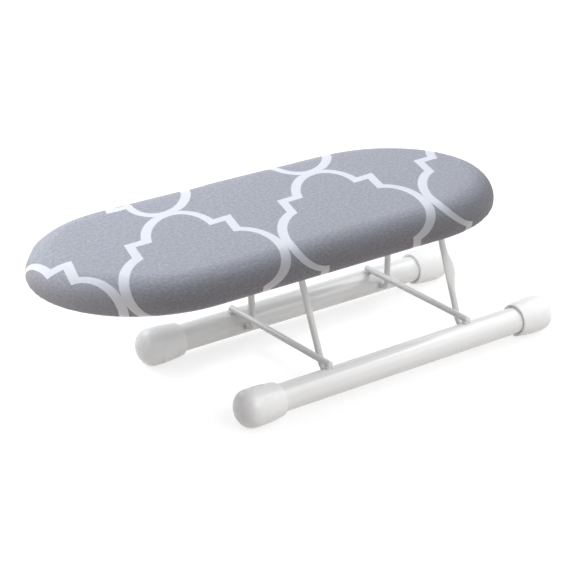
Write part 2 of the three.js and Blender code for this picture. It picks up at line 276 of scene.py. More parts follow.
# End caps: thick white soft-plastic boots, moulded with a rounded rim, a fuller body and a domed end.
# They push 37 mm over the tubes and carry the stand on the table. The gate of the mould shows on the dome.
cap_bore = 0.0128
cap_mouth = 0.0006
cap_rim = 0.0154
cap_rim_round = 0.0011
cap_land = 0.005
cap_dome = 0.014
cap_dome_round = 0.82
cap_floor = 0.0045
gate_radius = 0.0021
gate_depth = 0.0003
gate_lip = 0.0001


def skinned_finish(name, roughness, tones, gloss, bump, metallic=0.0, **skin_values):
    """A finish with a fine skin, whose colour drifts between two tones and whose gloss follows a mask."""
    material, tree, shader = new_finish(name, roughness, metallic)
    skin = use_group(tree, surface_skin, **skin_values)
    mask, span, least = gloss
    feed(shader, Base_Color=blend_colour(skin["Cloud"], *tones),
         Roughness=calc("MULTIPLY_ADD", skin[mask], span, least))
    add_bump(shader, skin["Ripple"], bump)
    return material


cap_plastic = skinned_finish("white_cap_plastic", 0.36, ((0.925, 0.93, 0.93), (0.95, 0.955, 0.955)),
                             ("Cloud", 0.10, 0.22), 0.00004, Ripple=1500.0, Cloud=60.0)

for side in ("front", "rear"):
    for end in ("nose", "tail"):
        low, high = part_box(f"{side}_{end}_cap")
        length = high.x - low.x
        radius = (high.z - low.z) / 2
        shoulder = length - cap_dome
        profile = [(length - cap_floor, 0), (length - cap_floor, cap_bore)]
        profile += [(cap_mouth, cap_bore), (0, cap_bore + cap_mouth)]
        for turn in even_steps(0, math.pi / 2, 8):
            back, down = 1 - math.cos(turn), 1 - math.sin(turn)
            profile.append((cap_rim_round * back, cap_rim - cap_rim_round * down))
        fuller = shoulder - cap_land - cap_rim_round
        for share in even_steps(0, 1, 16)[1:]:
            swell = (radius - cap_rim) * math.sin(math.pi / 2 * share)
            profile.append((cap_rim_round + fuller * share, cap_rim + swell))
        for turn in even_steps(0, math.pi / 2, 28)[:-1]:
            across = radius * math.cos(turn) ** cap_dome_round
            if across > gate_radius * 1.3:
                profile.append((shoulder + cap_dome * math.sin(turn) ** cap_dome_round, across))
        profile += [(length - gate_lip, gate_radius * 1.15), (length - 1.2 * gate_lip, gate_radius)]
        profile += [(length - gate_depth, gate_radius * 0.86), (length - gate_depth, 0)]
        shape = turned(profile)
        rim_x, angle = (low.x, 0) if end == "tail" else (high.x, math.pi)
        set_in_place(shape, (rim_x, (low.y + high.y) / 2, (low.z + high.z) / 2), angle)
        cap = closed_piece(f"end_cap_{side}_{end}", shape, crease=50)
        mount(cap, cap_plastic, "base", "cap_plastic", f"{side}_{end}_cap")


# Cross wires: two straight 6 mm steel wires laid across the foot tubes and welded down at both ends.
# A leg rests against its cross wire when the board stands. The weld beads are painted over with the rest, in
# a white coat set a little greyer than the tubes': painted shade for the shade under the board.
wire_radius = 0.003
wire_nosing = 0.4
wire_steps = 40
bead_half = Vector((0.0019, 0.0036, 0.0016))
bead_aside = 0.0021
bead_from_end = 0.0030
bead_lift = 0.0002
bead_ripple = 0.10
bead_uneven = 0.12
# The wires' white coat is set greyer than the tubes': painted shade for their shade under the board
shaded_wire_coat = skinned_finish("grey_white_wire_coat", 0.3, ((0.735, 0.74, 0.735), (0.80, 0.805, 0.80)),
                           ("Ripple", 0.12, 0.24), 0.00006, Ripple=520.0, Cloud=40.0)

for end in ("nose", "tail"):
    low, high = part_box(f"{end}_cross_wire")
    wire_x = (low.x + high.x) / 2
    wire_z = high.z - wire_radius
    nosing = [(wire_radius * (1 - math.cos(t)) * wire_nosing, wire_radius * math.sin(t))
              for t in even_steps(0, math.pi / 2, 6)]
    first, last = low.y + nosing[-1][0], high.y - nosing[-1][0]
    profile = [(low.y + x, r) for x, r in nosing[:-1]]
    profile += [(y, wire_radius) for y in even_steps(first, last, wire_steps)]
    profile += [(high.y - x, r) for x, r in reversed(nosing[:-1])]
    shape = turned(profile, sides=40)
    set_in_place(shape, (wire_x, 0, wire_z), math.pi / 2)
    for seat_y, inward in ((low.y, 1), (high.y, -1)):
        for way in (-1, 1):
            shift = Vector((way * 7, seat_y * 90, wire_x * 40))
            bead = bmesh.ops.create_icosphere(shape, subdivisions=4, radius=1)["verts"]
            for vert in bead:
                ridge = 1 + bead_ripple * math.sin(vert.co.y * 9 + way) * (1 - vert.co.y ** 2)
                ridge += bead_uneven * noise.noise(vert.co * 2.2 + shift)
                vert.co = Vector([c * half * ridge for c, half in zip(vert.co, bead_half)])
                vert.co += Vector((wire_x + way * bead_aside, seat_y + inward * bead_from_end,
                                   wire_z - wire_radius + bead_lift))
    wire = closed_piece(f"cross_wire_{end}", shape, crease=50)
    mount(wire, shaded_wire_coat, "base", "painted_wire", f"{end}_cross_wire")


# Legs: one 6 mm wire each, bent in four places. The feet turn out into the holes of the tubes, and the top
# bar turns in clips under the board. A leg leans 12 degrees past upright and stops on its cross wire. The
# tail leg's front side is pressed wider over a short length.
leg_length = 0.130
leg_lean = math.radians(12)
leg_foot_half = 0.050463
leg_top_half = 0.029873
leg_end_half = 0.08025
leg_bend = 0.009
wire_step = 0.004
pressed_rise = (0.25, 0.62)
pressed_width = 1.99
pressed_thickness = 0.60
pressed_shift = 0.0022


def bent_path(corners, radius, steps=14):
    """The corners of a wire's line, each rounded to the bend radius."""
    path = [corners[0]]
    for before, corner, after in zip(corners, corners[1:], corners[2:]):
        arriving, leaving = (corner - before).normalized(), (after - corner).normalized()
        turn = arriving.angle(leaving)
        axis = arriving.cross(leaving).normalized()
        start = corner - arriving * radius * math.tan(turn / 2)
        centre = start + axis.cross(arriving) * radius
        for angle in even_steps(0, turn, steps):
            path.append(centre + Matrix.Rotation(angle, 3, axis) @ (start - centre))
    path.append(corners[-1])
    finer = [path[0]]
    for point, following in zip(path, path[1:]):
        count = max(1, round((following - point).length / wire_step))
        finer += [point.lerp(following, share) for share in even_steps(0, 1, count)[1:]]
    return finer


def drawn_wire(name, path, radius, closed=False):
    """A round wire along a path."""
    curve = bpy.data.curves.new(name, "CURVE")
    curve.dimensions = "3D"
    line = curve.splines.new("POLY")
    line.points.add(len(path) - 1)
    for point, target in zip(line.points, path):
        point.co = (*target, 1)
    line.use_cyclic_u = closed
    curve.bevel_depth = radius
    curve.bevel_resolution = 8
    curve.use_fill_caps = not closed
    carrier = new_object(name, curve)
    mesh = plain_mesh(carrier)
    bpy.data.objects.remove(carrier)
    mesh.shade_smooth()
    mesh.set_sharp_from_angle(angle=math.radians(50))
    return new_object(name, mesh)


low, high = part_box("front_foot_tube")
pivot_z = (low.z + high.z) / 2
up = Vector((-math.sin(leg_lean), 0, math.cos(leg_lean)))
for end, x in zip(("nose", "tail"), sorted(pivot_x)):
    foot = Vector((x, 0, pivot_z))
    half_spans = [(-leg_end_half, 0), (-leg_foot_half, 0), (-leg_top_half, leg_length),
                  (leg_top_half, leg_length), (leg_foot_half, 0), (leg_end_half, 0)]
    corners = [foot + Vector((0, across, 0)) + up * rise for across, rise in half_spans]
    leg = drawn_wire(f"wire_leg_{end}", bent_path(corners, leg_bend), wire_radius)
    if end == "tail":
        wide = Vector((math.cos(leg_lean), 0, math.sin(leg_lean)))
        run = (corners[2] - corners[1]).normalized()
        thin = wide.cross(run)
        lowest, highest = pressed_rise
        for vert in leg.data.vertices:
            rise = (vert.co - foot).dot(up) / leg_length
            share = (rise - lowest) / (highest - lowest)
            if vert.co.y < 0 and 0 < share < 1:
                press = math.sin(math.pi * share) ** 2
                off = vert.co - corners[1]
                wider = off.dot(wide) * (pressed_width - 1) + pressed_shift
                thinner = off.dot(thin) * (1 - pressed_thickness)
                vert.co += (wide * wider - thin * thinner) * press
    mount(leg, shaded_wire_coat, f"{end}_leg", "painted_wire", f"{end}_leg")


# Perforated sheet: 0.8 mm galvanised steel, cut to the board's outline and punched with rows of 12 mm vents.
# The steam leaves through the vents. It lies on the rim band and carries the foam.
nose_round = 0.113
tail_round = 0.118
rim_inset = 0.0076
rim_thickness = 0.001
vent_radius = 0.006
vent_pitch = 0.032
vent_margin = 0.0236
vent_sides = 36
clip_reach = 0.0153
clip_half_width = 0.007
rivet_offset = 0.01005
rivet_radius = 0.002
rivet_clearance = 0.0003
merge_gap = 1e-6

cover_low, cover_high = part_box("cotton_cover")
sheet_low, sheet_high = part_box("perforated_sheet")
half_width = (cover_high.y - cover_low.y) / 2
nose_centre = cover_low.x + nose_round
tail_centre = cover_high.x - tail_round


def board_edge(count):
    """Even (point, outward normal, distance) steps round the board, from the tail tip by the rear side."""
    dense = []
    arcs = ((tail_centre, tail_round, 0, 90), (nose_centre, nose_round, 90, 180),
            (tail_centre, tail_round, 270, 90))
    for centre, reach, start, sweep in arcs:
        for step in range(10 * sweep + 1):
            turn = math.radians(start + step / 10)
            spot = Vector((centre + reach * math.cos(turn), half_width * math.sin(turn)))
            normal = Vector((math.cos(turn) / reach, math.sin(turn) / half_width)).normalized()
            dense.append((spot, normal))
    gone = [0.0]
    for (here, _), (there, _) in zip(dense, dense[1:]):
        gone.append(gone[-1] + (there - here).length)
    found, at = [], 0
    for index in range(count):
        distance = gone[-1] * index / count
        while gone[at + 1] < distance:
            at += 1
        share = (distance - gone[at]) / max(gone[at + 1] - gone[at], 1e-9)
        spot, normal = (dense[at][i].lerp(dense[at + 1][i], share) for i in (0, 1))
        found.append((spot, normal.normalized(), distance))
    return found


def line_mesh(name, points, closed=True):
    """Points and the line through them, for a nodes recipe to work on."""
    mesh = bpy.data.meshes.new(name)
    edges = [(i, (i + 1) % len(points)) for i in range(len(points))] if closed else []
    mesh.from_pydata(points, edges, [])
    return mesh


def geometry_step(tree, kind, values=None, **settings):
    """Adds a Geometry Nodes node and returns its first output."""
    return output_of(tree, f"GeometryNode{kind}", values, **settings)


def joined(tree, *parts):
    node = add_node(tree, "GeometryNodeJoinGeometry")
    for part in parts:
        tree.links.new(part, node.inputs[0])
    return node.outputs[0]


def end_recipe(tree, geometry, finish, result, smooth=False):
    """Ends a recipe in plain geometry with its finish."""
    plain = geometry_step(tree, "RealizeInstances", {0: geometry})
    if smooth:
        plain = geometry_step(tree, "SetShadeSmooth", {0: plain})
    tree.links.new(geometry_step(tree, "SetMaterial", {"Geometry": plain, "Material": finish}), result)


def nodes_recipe(name, inputs):
    """An empty Geometry Nodes tree. Returns it with the sockets to take from and the socket to feed."""
    tree = bpy.data.node_groups.new(name, "GeometryNodeTree")
    tree.interface.new_socket("Geometry", in_out="INPUT", socket_type="NodeSocketGeometry")
    for label, kind in inputs.items():
        tree.interface.new_socket(label, in_out="INPUT", socket_type=f"NodeSocket{kind}")
    tree.interface.new_socket("Geometry", in_out="OUTPUT", socket_type="NodeSocketGeometry")
    return tree, tree.nodes.new("NodeGroupInput").outputs, tree.nodes.new("NodeGroupOutput").inputs[0]


def follow_recipe(name, tree, carrier_mesh, **values):
    """Runs a nodes recipe on a carrier and returns the result as a plain object."""
    carrier = new_object(name, carrier_mesh)
    recipe = carrier.modifiers.new(name, "NODES")
    recipe.node_group = tree
    for item in tree.interface.items_tree:
        if item.in_out == "INPUT" and item.name.replace(" ", "_") in values:
            recipe[item.identifier] = values[item.name.replace(" ", "_")]
    mesh = plain_mesh(carrier)
    bpy.data.objects.remove(carrier)
    return new_object(name, mesh)


sheet_steel, tree, shader = new_finish("galvanised_sheet", 0.42, 0.85)
skin = use_group(tree, surface_skin, Ripple=700.0, Cloud=95.0, Stretch=0.12)
spangle = add_node(tree, "ShaderNodeTexVoronoi", {"Vector": object_place(tree), "Scale": 140.0})
flake = output_of(tree, "ShaderNodeSeparateColor", {0: spangle.outputs["Color"]})
steel = blend_colour(flake, (0.52, 0.53, 0.54), (0.66, 0.67, 0.68))
steel = blend_colour(skin["Speck"], steel, (0.44, 0.44, 0.45))
feed(shader, Base_Color=steel, Roughness=calc("MULTIPLY_ADD", flake, 0.16, 0.34))
add_bump(shader, skin["Ripple"], 0.00004)

clip_spots = []
for end in ("nose", "tail"):
    for side in ("front", "rear"):
        low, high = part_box(f"{end}_{side}_clip")
        clip_spots.append((f"{end}_{side}", (low.x + high.x) / 2, (low.y + high.y) / 2))
rivet_spots = [(x + way * rivet_offset, y) for _, x, y in clip_spots for way in (-1, 1)]

edge_spots = [spot for spot, _, _ in board_edge(400)]
holes = [(x, y, rivet_radius + rivet_clearance) for x, y in rivet_spots]
rows = int(half_width / vent_pitch)
keep_x, keep_y = clip_reach + 2 * vent_radius, clip_half_width + 2 * vent_radius
for row in range(-rows, rows + 1):
    y = row * vent_pitch
    x = cover_low.x + (row % 2) * vent_pitch / 2
    while x < cover_high.x:
        from_edge = min((spot - Vector((x, y))).length for spot in edge_spots)
        clear = all(abs(x - cx) > keep_x or abs(y - cy) > keep_y for _, cx, cy in clip_spots)
        past_end = max((nose_centre - x) / nose_round, (x - tail_centre) / tail_round, 0)
        inside = math.hypot(past_end, y / half_width) < 1
        if inside and clear and from_edge > vent_margin:
            holes.append((x, y, vent_radius))
        x += vent_pitch
punch_mesh = line_mesh("punched_places", [(x, y, 0) for x, y, _ in holes], False)
punch_mesh.attributes.new("hole_radius", "FLOAT", "POINT").data.foreach_set("value", [r for _, _, r in holes])
punch = new_object("punched_places", punch_mesh)

punching, taken, result = nodes_recipe("punched_sheet", {
    "Punch": "Object", "Thickness": "Float", "Height": "Float", "Finish": "Material"})
blank_edge = geometry_step(punching, "MeshToCurve", {"Mesh": taken["Geometry"]})
spots = add_node(punching, "GeometryNodeObjectInfo", {"Object": taken["Punch"]}).outputs["Geometry"]
circle = geometry_step(punching, "CurvePrimitiveCircle", {"Resolution": vent_sides, "Radius": 1.0})
size = geometry_step(punching, "InputNamedAttribute", {"Name": "hole_radius"}, data_type="FLOAT")
rims = geometry_step(punching, "InstanceOnPoints", {"Points": spots, "Instance": circle, "Scale": size})
rims = geometry_step(punching, "RealizeInstances", {0: rims})
blank = geometry_step(punching, "FillCurve", {"Curve": joined(punching, blank_edge, rims)})
raised = geometry_step(punching, "ExtrudeMesh", {
    "Mesh": blank, "Offset": (0, 0, 1), "Offset Scale": taken["Thickness"], "Individual": False})
plate = joined(punching, raised, geometry_step(punching, "FlipFaces", {0: blank}))
plate = geometry_step(punching, "MergeByDistance", {"Geometry": plate, "Distance": merge_gap})
lift = output_of(punching, "ShaderNodeCombineXYZ", {2: taken["Height"]})
plate = geometry_step(punching, "Transform", {"Geometry": plate, "Translation": lift})
end_recipe(punching, plate, taken["Finish"], result)

blank_line = [(spot - normal * rim_inset).to_3d() for spot, normal, _ in board_edge(360)]
sheet = follow_recipe("vented_sheet", punching, line_mesh("blank_line", blank_line), Punch=punch,
                      Thickness=sheet_high.z - sheet_low.z, Height=sheet_low.z, Finish=sheet_steel)
bpy.data.objects.remove(punch)
mount(sheet, sheet_steel, "board", "board_steel", "perforated_sheet")


# Rim band: a strip of the same steel set on edge under the sheet, bent to the outline and spot welded to it.
# It keeps the sheet flat, and the cover's hem pulls against it. Its lower edge is rolled smooth.
def carried_round(section, count, closed):
    """Carries (inset, height) points round the board. Returns the shape and its rings of vertices."""
    shape = bmesh.new()
    edge = board_edge(count)
    rings = [[shape.verts.new((*(spot - normal * inset), height)) for spot, normal, _ in edge]
             for inset, height in section]
    for upper, lower in zip(rings, rings[1:] + ([rings[0]] if closed else [])):
        bridge(shape, upper, lower)
    return shape, rings


low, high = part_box("rim_band")
roll = rim_thickness / 2
section = [(rim_inset, high.z), (rim_inset, low.z + roll)]
section += [(rim_inset + roll - roll * math.cos(t), low.z + roll - roll * math.sin(t))
            for t in even_steps(0, math.pi, 8)[1:-1]]
section += [(rim_inset + rim_thickness, low.z + roll), (rim_inset + rim_thickness, high.z)]
shape, _ = carried_round(section, 360, True)
rim = closed_piece("rim_strip", shape)
mount(rim, sheet_steel, "board", "board_steel", "rim_band")


# Saddle clips: four straps of zinc-plated steel, 1.5 mm thick, pressed into a loop over a leg's top bar.
# Each is riveted to the sheet through both its flanges, and the bar turns freely in the loop.
clip_thickness = 0.0015
clip_loop = 0.0033
clip_edge = 0.0003

zinc_strap = skinned_finish("zinc_plated_strap", 0.34, ((0.55, 0.56, 0.58), (0.70, 0.70, 0.70)),
                            ("Ripple", 0.2, 0.24), 0.00003, 0.9, Ripple=1400.0, Cloud=160.0, Stretch=0.2)

for name, x, y in clip_spots:
    low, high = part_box(f"{name}_clip")
    outer = clip_loop + clip_thickness
    drop = high.z - low.z - outer
    half_loop = even_steps(0, math.pi, 24)
    strap = [(-clip_reach, 0), (-clip_reach, -clip_thickness), (-outer, -clip_thickness)]
    strap += [(-outer * math.cos(t), -drop - outer * math.sin(t)) for t in half_loop]
    strap += [(outer, -clip_thickness), (clip_reach, -clip_thickness), (clip_reach, 0), (clip_loop, 0)]
    strap += [(clip_loop * math.cos(t), -drop - clip_loop * math.sin(t)) for t in half_loop]
    strap += [(-clip_loop, 0)]
    shape = bmesh.new()
    face = shape.faces.new([shape.verts.new((x + dx, y - clip_half_width, high.z + dz)) for dx, dz in strap])
    swept = bmesh.ops.extrude_face_region(shape, geom=[face])["geom"]
    moved = [item for item in swept if isinstance(item, bmesh.types.BMVert)]
    bmesh.ops.translate(shape, verts=moved, vec=(0, 2 * clip_half_width, 0))
    clip = closed_piece(f"saddle_clip_{name}", shape)
    worn = clip.modifiers.new("rolled_edges", "BEVEL")
    worn.width = clip_edge
    worn.segments = 3
    worn.limit_method = "ANGLE"
    worn.angle_limit = math.radians(40)
    apply_modifiers(clip)
    mount(clip, zinc_strap, "board", "clip_steel", f"{name}_clip")


# Rivets: eight domed steel rivets, two for each clip, set from below through the strap and the sheet.
# The shank is closed flush with the top of the sheet, so that nothing presses into the foam.
rivet_head = 0.00375
rivet_height = 0.0019
rivet_brim = 0.0004
dimple_radius = 0.0006
dimple_depth = 0.0002

bright_rivet = skinned_finish("bright_rivet_steel", 0.22, ((0.60, 0.61, 0.63), (0.76, 0.76, 0.77)),
                              ("Cloud", 0.22, 0.16), 0.00002, 1.0, Ripple=2200.0, Cloud=500.0)

low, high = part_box("nose_front_fore_rivet")
seat = low.z + rivet_height
profile = [(seat - high.z, 0), (seat - high.z, rivet_radius), (0, rivet_radius)]
profile += [(0, rivet_head), (rivet_brim, rivet_head)]
for turn in even_steps(0, math.pi / 2, 11)[1:10]:
    dome = (rivet_height - rivet_brim) * math.sin(turn)
    profile.append((rivet_brim + dome, rivet_head * math.cos(turn)))
profile += [(rivet_height, 1.5 * dimple_radius), (rivet_height - dimple_depth, dimple_radius)]
profile += [(rivet_height - dimple_depth, 0)]
shape = turned(profile, sides=40)
set_in_place(shape, (0, 0, 0), math.pi / 2, "Y")
form = closed_piece("rivet_form", shape)

riveting, taken, result = nodes_recipe("rivet_row", {"Form": "Object", "Finish": "Material"})
one = add_node(riveting, "GeometryNodeObjectInfo", {"Object": taken["Form"]}).outputs["Geometry"]
row = geometry_step(riveting, "InstanceOnPoints", {"Points": taken["Geometry"], "Instance": one})
end_recipe(riveting, row, taken["Finish"], result)

spots_mesh = line_mesh("rivet_spots", [(x, y, seat) for x, y in rivet_spots], False)
rivets = follow_recipe("clip_rivets", riveting, spots_mesh, Form=form, Finish=bright_rivet)
bpy.data.objects.remove(form)
rivet_nodes = [f"{name}_{way}_rivet" for name, _, _ in clip_spots for way in ("fore", "aft")]
mount(rivets, bright_rivet, "board", "rivet_steel", *rivet_nodes)


# Foam pad: one sheet of open-cell foam, cut larger than the steel so that a skirt of it wraps the rim band.
# It is only laid on. The stretched cover holds it and rounds its upper edge.
edge_round = 0.025
edge_drop = 0.0205
edge_steps = 18
foam_skirt = 0.006
foam_corner = 0.001
foam_rings = 5
seat_gap = 0.0003

padding_foam, tree, shader = new_finish("padding_foam", 0.95)
cells = add_node(tree, "ShaderNodeTexVoronoi", {
    "Vector": object_place(tree), "Scale": 900.0}, feature="SMOOTH_F1")
pore_dents_and_shade = output_of(tree, "ShaderNodeMapRange", {0: cells.outputs["Distance"], 1: 0.15, 2: 0.75})
skin = use_group(tree, surface_skin, Ripple=600.0, Cloud=40.0)
foam_tone = blend_colour(skin["Cloud"], (0.74, 0.69, 0.56), (0.80, 0.76, 0.64))
# The pores are dents in the bump and also painted darker: painted shade in the cell hollows
feed(shader, Base_Color=blend_colour(pore_dents_and_shade, (0.52, 0.47, 0.36), foam_tone))
add_bump(shader, pore_dents_and_shade, 0.0004)


def edge_section(inset, steps):
    """The padded edge from the top down, on a face that lies the given depth under the cover's own."""
    return [(edge_round - (edge_round - inset) * math.sin(t),
             cover_high.z - edge_drop + (edge_drop - inset) * math.cos(t))
            for t in even_steps(0, math.pi / 2, steps)]


def close_over(shape, ring, steps):
    """Fills the inside of a level ring with rings that shrink to the board's middle line."""
    outer = ring
    edge = [vert.co.copy() for vert in ring]
    for share in even_steps(0, 1, steps)[1:]:
        inner = []
        for co in edge:
            spine = Vector((min(max(co.x, nose_centre), tail_centre), 0, co.z))
            inner.append(shape.verts.new(co.lerp(spine, share)))
        bridge(shape, outer, inner)
        outer = inner


low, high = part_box("foam_pad")
foam_inset = cover_high.x - high.x
section = edge_section(foam_inset, edge_steps)
skirt_inside = foam_inset + foam_skirt
section += [(foam_inset, low.z + foam_corner), (foam_inset + foam_corner, low.z)]
section += [(skirt_inside - foam_corner, low.z), (skirt_inside, low.z + foam_corner)]
section += [(skirt_inside, sheet_high.z + seat_gap), (edge_round, sheet_high.z + seat_gap)]
shape, rings = carried_round(section, 240, False)
close_over(shape, rings[0], foam_rings)
close_over(shape, rings[-1], foam_rings)
bmesh.ops.remove_doubles(shape, verts=shape.verts, dist=merge_gap)
foam = closed_piece("foam_layer", shape, crease=60)
mount(foam, padding_foam, "board", "padding_foam", "foam_pad")


# Cotton cover: grey woven cotton, printed with a white trellis before it was cut. It is pulled over the foam
# and the rim, and its casing hem gathers under the board, most at the round ends. It sits a little aslant, so
# the print drifts towards nose and front on the sides, and it slips where it is pulled round the ends.
cloth = 0.0007
hem_round = 0.0055
hem_reach = 0.021
casing_radius = 0.0026
casing_height = 0.0028
stitch_inset = 0.0150
stitch_lift = 0.0011
hem_selvedge = (0.0018, 0.0003)
gather_pitch = 0.0105
gather_least = 0.28
gather_wall = 0.00045
gather_in = 0.0009
gather_drop = 0.00075
gather_sag = 0.15
lip_start = 0.002
lip_run = 0.012
slack_share = 0.35
slack_depth = 0.0005
slack_run = 0.02
top_depth = 0.004
top_wave = 0.00028
top_ripple = 0.00014
cover_rings = 7
around = 720
trellis_at = (-0.1472813, -0.0717465)
trellis_across = (0.0840828, 0.0041277)
trellis_along = (0.0400327, 0.1095462)
side_lobe = (0.4973, 0.4518)
end_lobe = (0.5621, 0.4257)
square_half = (0.6275, 0.6545)
band_half = 0.0043
ink_bleed = 0.0004
# Heights under the top over which the side's painted shade and painted light come in
painted_side_shade_band = (0.004, 0.018)
print_stretch = 0.860
print_drift = Vector((-0.602, -0.784))
print_slips = ((Vector((-0.135, 0.078)), 0.026, Vector((-0.0045, 0.0055))),
               (Vector((0.130, -0.088)), 0.021, Vector((-0.0026, 0.0042))))

printed_cotton, tree, shader = new_finish("printed_cotton", 0.88)
shader.inputs["Sheen Weight"].default_value = 0.12
shader.inputs["Sheen Roughness"].default_value = 0.45
shader.inputs["Specular IOR Level"].default_value = 0.25

# Plain weave with its slubs, read from the cloth's own flat coordinates
weave, weave_in, weave_out = shader_group("plain_weave", {"Threads": 2100.0}, ["Weave", "Slub", "Mottle"])
flat_at = add_node(weave, "ShaderNodeAttribute", attribute_name="cut").outputs["Vector"]
split = add_node(weave, "ShaderNodeSeparateXYZ", {0: flat_at}).outputs
half_turns = calc("MULTIPLY", weave_in["Threads"], math.pi)
warp = calc("SINE", calc("MULTIPLY", split[0], half_turns))
weft = calc("SINE", calc("MULTIPLY", split[1], half_turns))
crossing = calc("MULTIPLY", warp, weft)
threads = calc("ADD", calc("ABSOLUTE", warp), calc("ABSOLUTE", weft))
weave.links.new(calc("MULTIPLY_ADD", threads, 0.4, crossing), weave_out["Weave"])
slubs = []
for stretch in ((70.0, 1300.0, 1.0), (1300.0, 70.0, 1.0)):
    strung = output_of(weave, "ShaderNodeVectorMath", {0: flat_at, 1: stretch}, operation="MULTIPLY")
    slubs.append(grain(strung, 1.0, 2.0))
weave.links.new(calc("MULTIPLY", calc("ADD", *slubs), 0.5), weave_out["Slub"])
weave.links.new(grain(flat_at, 360.0, 4.0, roughness=0.85), weave_out["Mottle"])

# Distance from the trellis line: a square with a round lobe on each side, repeated on a slanted lattice
trellis, _, trellis_out = shader_group("trellis_print", {}, ["Line"])
flat_at = add_node(trellis, "ShaderNodeAttribute", attribute_name="cut").outputs["Vector"]
split = add_node(trellis, "ShaderNodeSeparateXYZ", {0: flat_at}).outputs


def less(first, second):
    return calc("SUBTRACT", first, second)


def times(first, second):
    return calc("MULTIPLY", first, second)


# Steps of the lattice, across and along, folded onto one quarter of a cell
off_x, off_y = less(split[0], trellis_at[0]), less(split[1], trellis_at[1])
(across_x, across_y), (along_x, along_y) = trellis_across, trellis_along
cell = across_x * along_y - across_y * along_x
across = calc("WRAP", less(times(off_x, along_y / cell), times(off_y, along_x / cell)), 1.0, -1.0)
along = calc("WRAP", less(times(off_y, across_x / cell), times(off_x, across_y / cell)), 1.0, -1.0)
sense = calc("SIGN", times(across, along))
across, along = calc("ABSOLUTE", across), calc("ABSOLUTE", along)
grade_across = math.hypot(along_x, along_y) / cell
grade_along = math.hypot(across_x, across_y) / cell
grade_both = -2 * (along_y * across_y + along_x * across_x) / cell ** 2


def lobe_distance(over, up, radius):
    """How far outside a lobe's circle a place is, in metres, from its lattice steps off the lobe's centre."""
    over_square, up_square = times(over, over), times(up, up)
    reach = calc("SQRT", calc("ADD", over_square, up_square))
    slant = times(times(times(over, up), sense), grade_both)
    grade = calc("MULTIPLY_ADD", up_square, grade_along ** 2, slant)
    grade = calc("MULTIPLY_ADD", over_square, grade_across ** 2, grade)
    grade = calc("SQRT", calc("MAXIMUM", grade, 1e-6))
    return calc("DIVIDE", times(less(reach, radius), reach), grade)


ends = lobe_distance(across, less(along, end_lobe[0]), end_lobe[1])
sides = lobe_distance(less(across, side_lobe[0]), along, side_lobe[1])
square = calc("MAXIMUM", calc("DIVIDE", less(across, square_half[0]), grade_across),
              calc("DIVIDE", less(along, square_half[1]), grade_along))
away = calc("MINIMUM", calc("MINIMUM", ends, sides), square)
bleed = calc("MULTIPLY_ADD", grain(flat_at, 700.0, 2.0), 2 * ink_bleed, -ink_bleed)
away = calc("ADD", calc("ABSOLUTE", away), bleed)
line = output_of(trellis, "ShaderNodeMapRange", {
    0: away, 1: band_half - ink_bleed, 2: band_half + ink_bleed, 3: 1.0, 4: 0.0},
    interpolation_type="SMOOTHSTEP")
trellis.links.new(line, trellis_out["Line"])

yarn = use_group(tree, weave, Threads=2100.0)
fine = calc("MULTIPLY_ADD", yarn["Mottle"], 5.2, -2.35)
tone = calc("ADD", calc("MULTIPLY_ADD", yarn["Slub"], 1.4, -0.45), fine)

# Painted shade and light where the cloth turns down over the edge: the grey is painted darker, the white
# whiter
level = add_node(tree, "ShaderNodeSeparateXYZ", {0: object_place(tree)}).outputs[2]
painted_side_shade = output_of(tree, "ShaderNodeMapRange", {
    0: level, 1: cover_high.z - painted_side_shade_band[0], 2: cover_high.z - painted_side_shade_band[1]})
ground = blend_colour(tone, (0.350, 0.361, 0.410), (0.492, 0.507, 0.575))
painted_shade_grey = blend_colour(tone, (0.315, 0.310, 0.336), (0.443, 0.436, 0.472))
ground = blend_colour(painted_side_shade, ground, painted_shade_grey)
white = blend_colour(tone, (0.835, 0.860, 0.930), (0.880, 0.905, 0.980))
painted_light_white = blend_colour(tone, (0.915, 0.915, 0.940), (0.945, 0.945, 0.970))
white = blend_colour(painted_side_shade, white, painted_light_white)
print_mask = use_group(tree, trellis)["Line"]
feed(shader, Base_Color=blend_colour(print_mask, ground, white))
add_bump(shader, yarn["Weave"], 0.00005)

top, base = cover_high.z, cover_low.z
section = edge_section(0, edge_steps)
wall_base = base + hem_round
section += [(0, wall_base)]
hem_start = len(section) - 1
section += [(hem_round - hem_round * math.cos(t), wall_base - hem_round * math.sin(t))
            for t in even_steps(0, math.pi / 2, 6)[1:]]
stitch_row = len(section) + 2
section += [(inset, base) for inset in even_steps(hem_round, hem_reach, 7)[1:]]
section += [(hem_reach + casing_radius * math.sin(t), base + casing_height - casing_height * math.cos(t))
            for t in even_steps(0, math.pi, 8)[1:]]
casing_top = base + 2 * casing_height
stitch_height = base + stitch_lift
for share in (0.25, 0.5, 0.75, 1):
    height = casing_top + (stitch_height - casing_top) * share ** 1.5
    section.append((hem_reach + (stitch_inset - hem_reach) * share, height))
section += [(stitch_inset - hem_selvedge[0], stitch_height + hem_selvedge[1])]
fallen = [0.0]
for (inset, height), (next_inset, next_height) in zip(section, section[1:]):
    fallen.append(fallen[-1] + math.hypot(next_inset - inset, next_height - height))


def gathers(spot, distance):
    """How strongly the hem is gathered here, and the height of the gather from -1 to 1."""
    past_nose = max(0, nose_centre - spot.x) / nose_round
    past_tail = max(0, spot.x - tail_centre) / tail_round
    pull = gather_least + (1 - gather_least) * min(1, 1.6 * max(past_nose, past_tail))
    wander = 2.6 * noise.noise(Vector((distance * 38, 3.1, 0)))
    wander += 1.2 * noise.noise(Vector((distance * 95, 8.4, 0)))
    swell = 0.62 + 0.75 * noise.noise(Vector((distance * 61, 0.4, 5.0)))
    return pull * max(0.1, swell), math.sin(2 * math.pi * distance / gather_pitch + 2 * wander)


def lip_share(inset):
    """0 on the cover's wall and 1 where its hem lies flat under the board."""
    return min(1, max(0, (inset - lip_start) / lip_run))


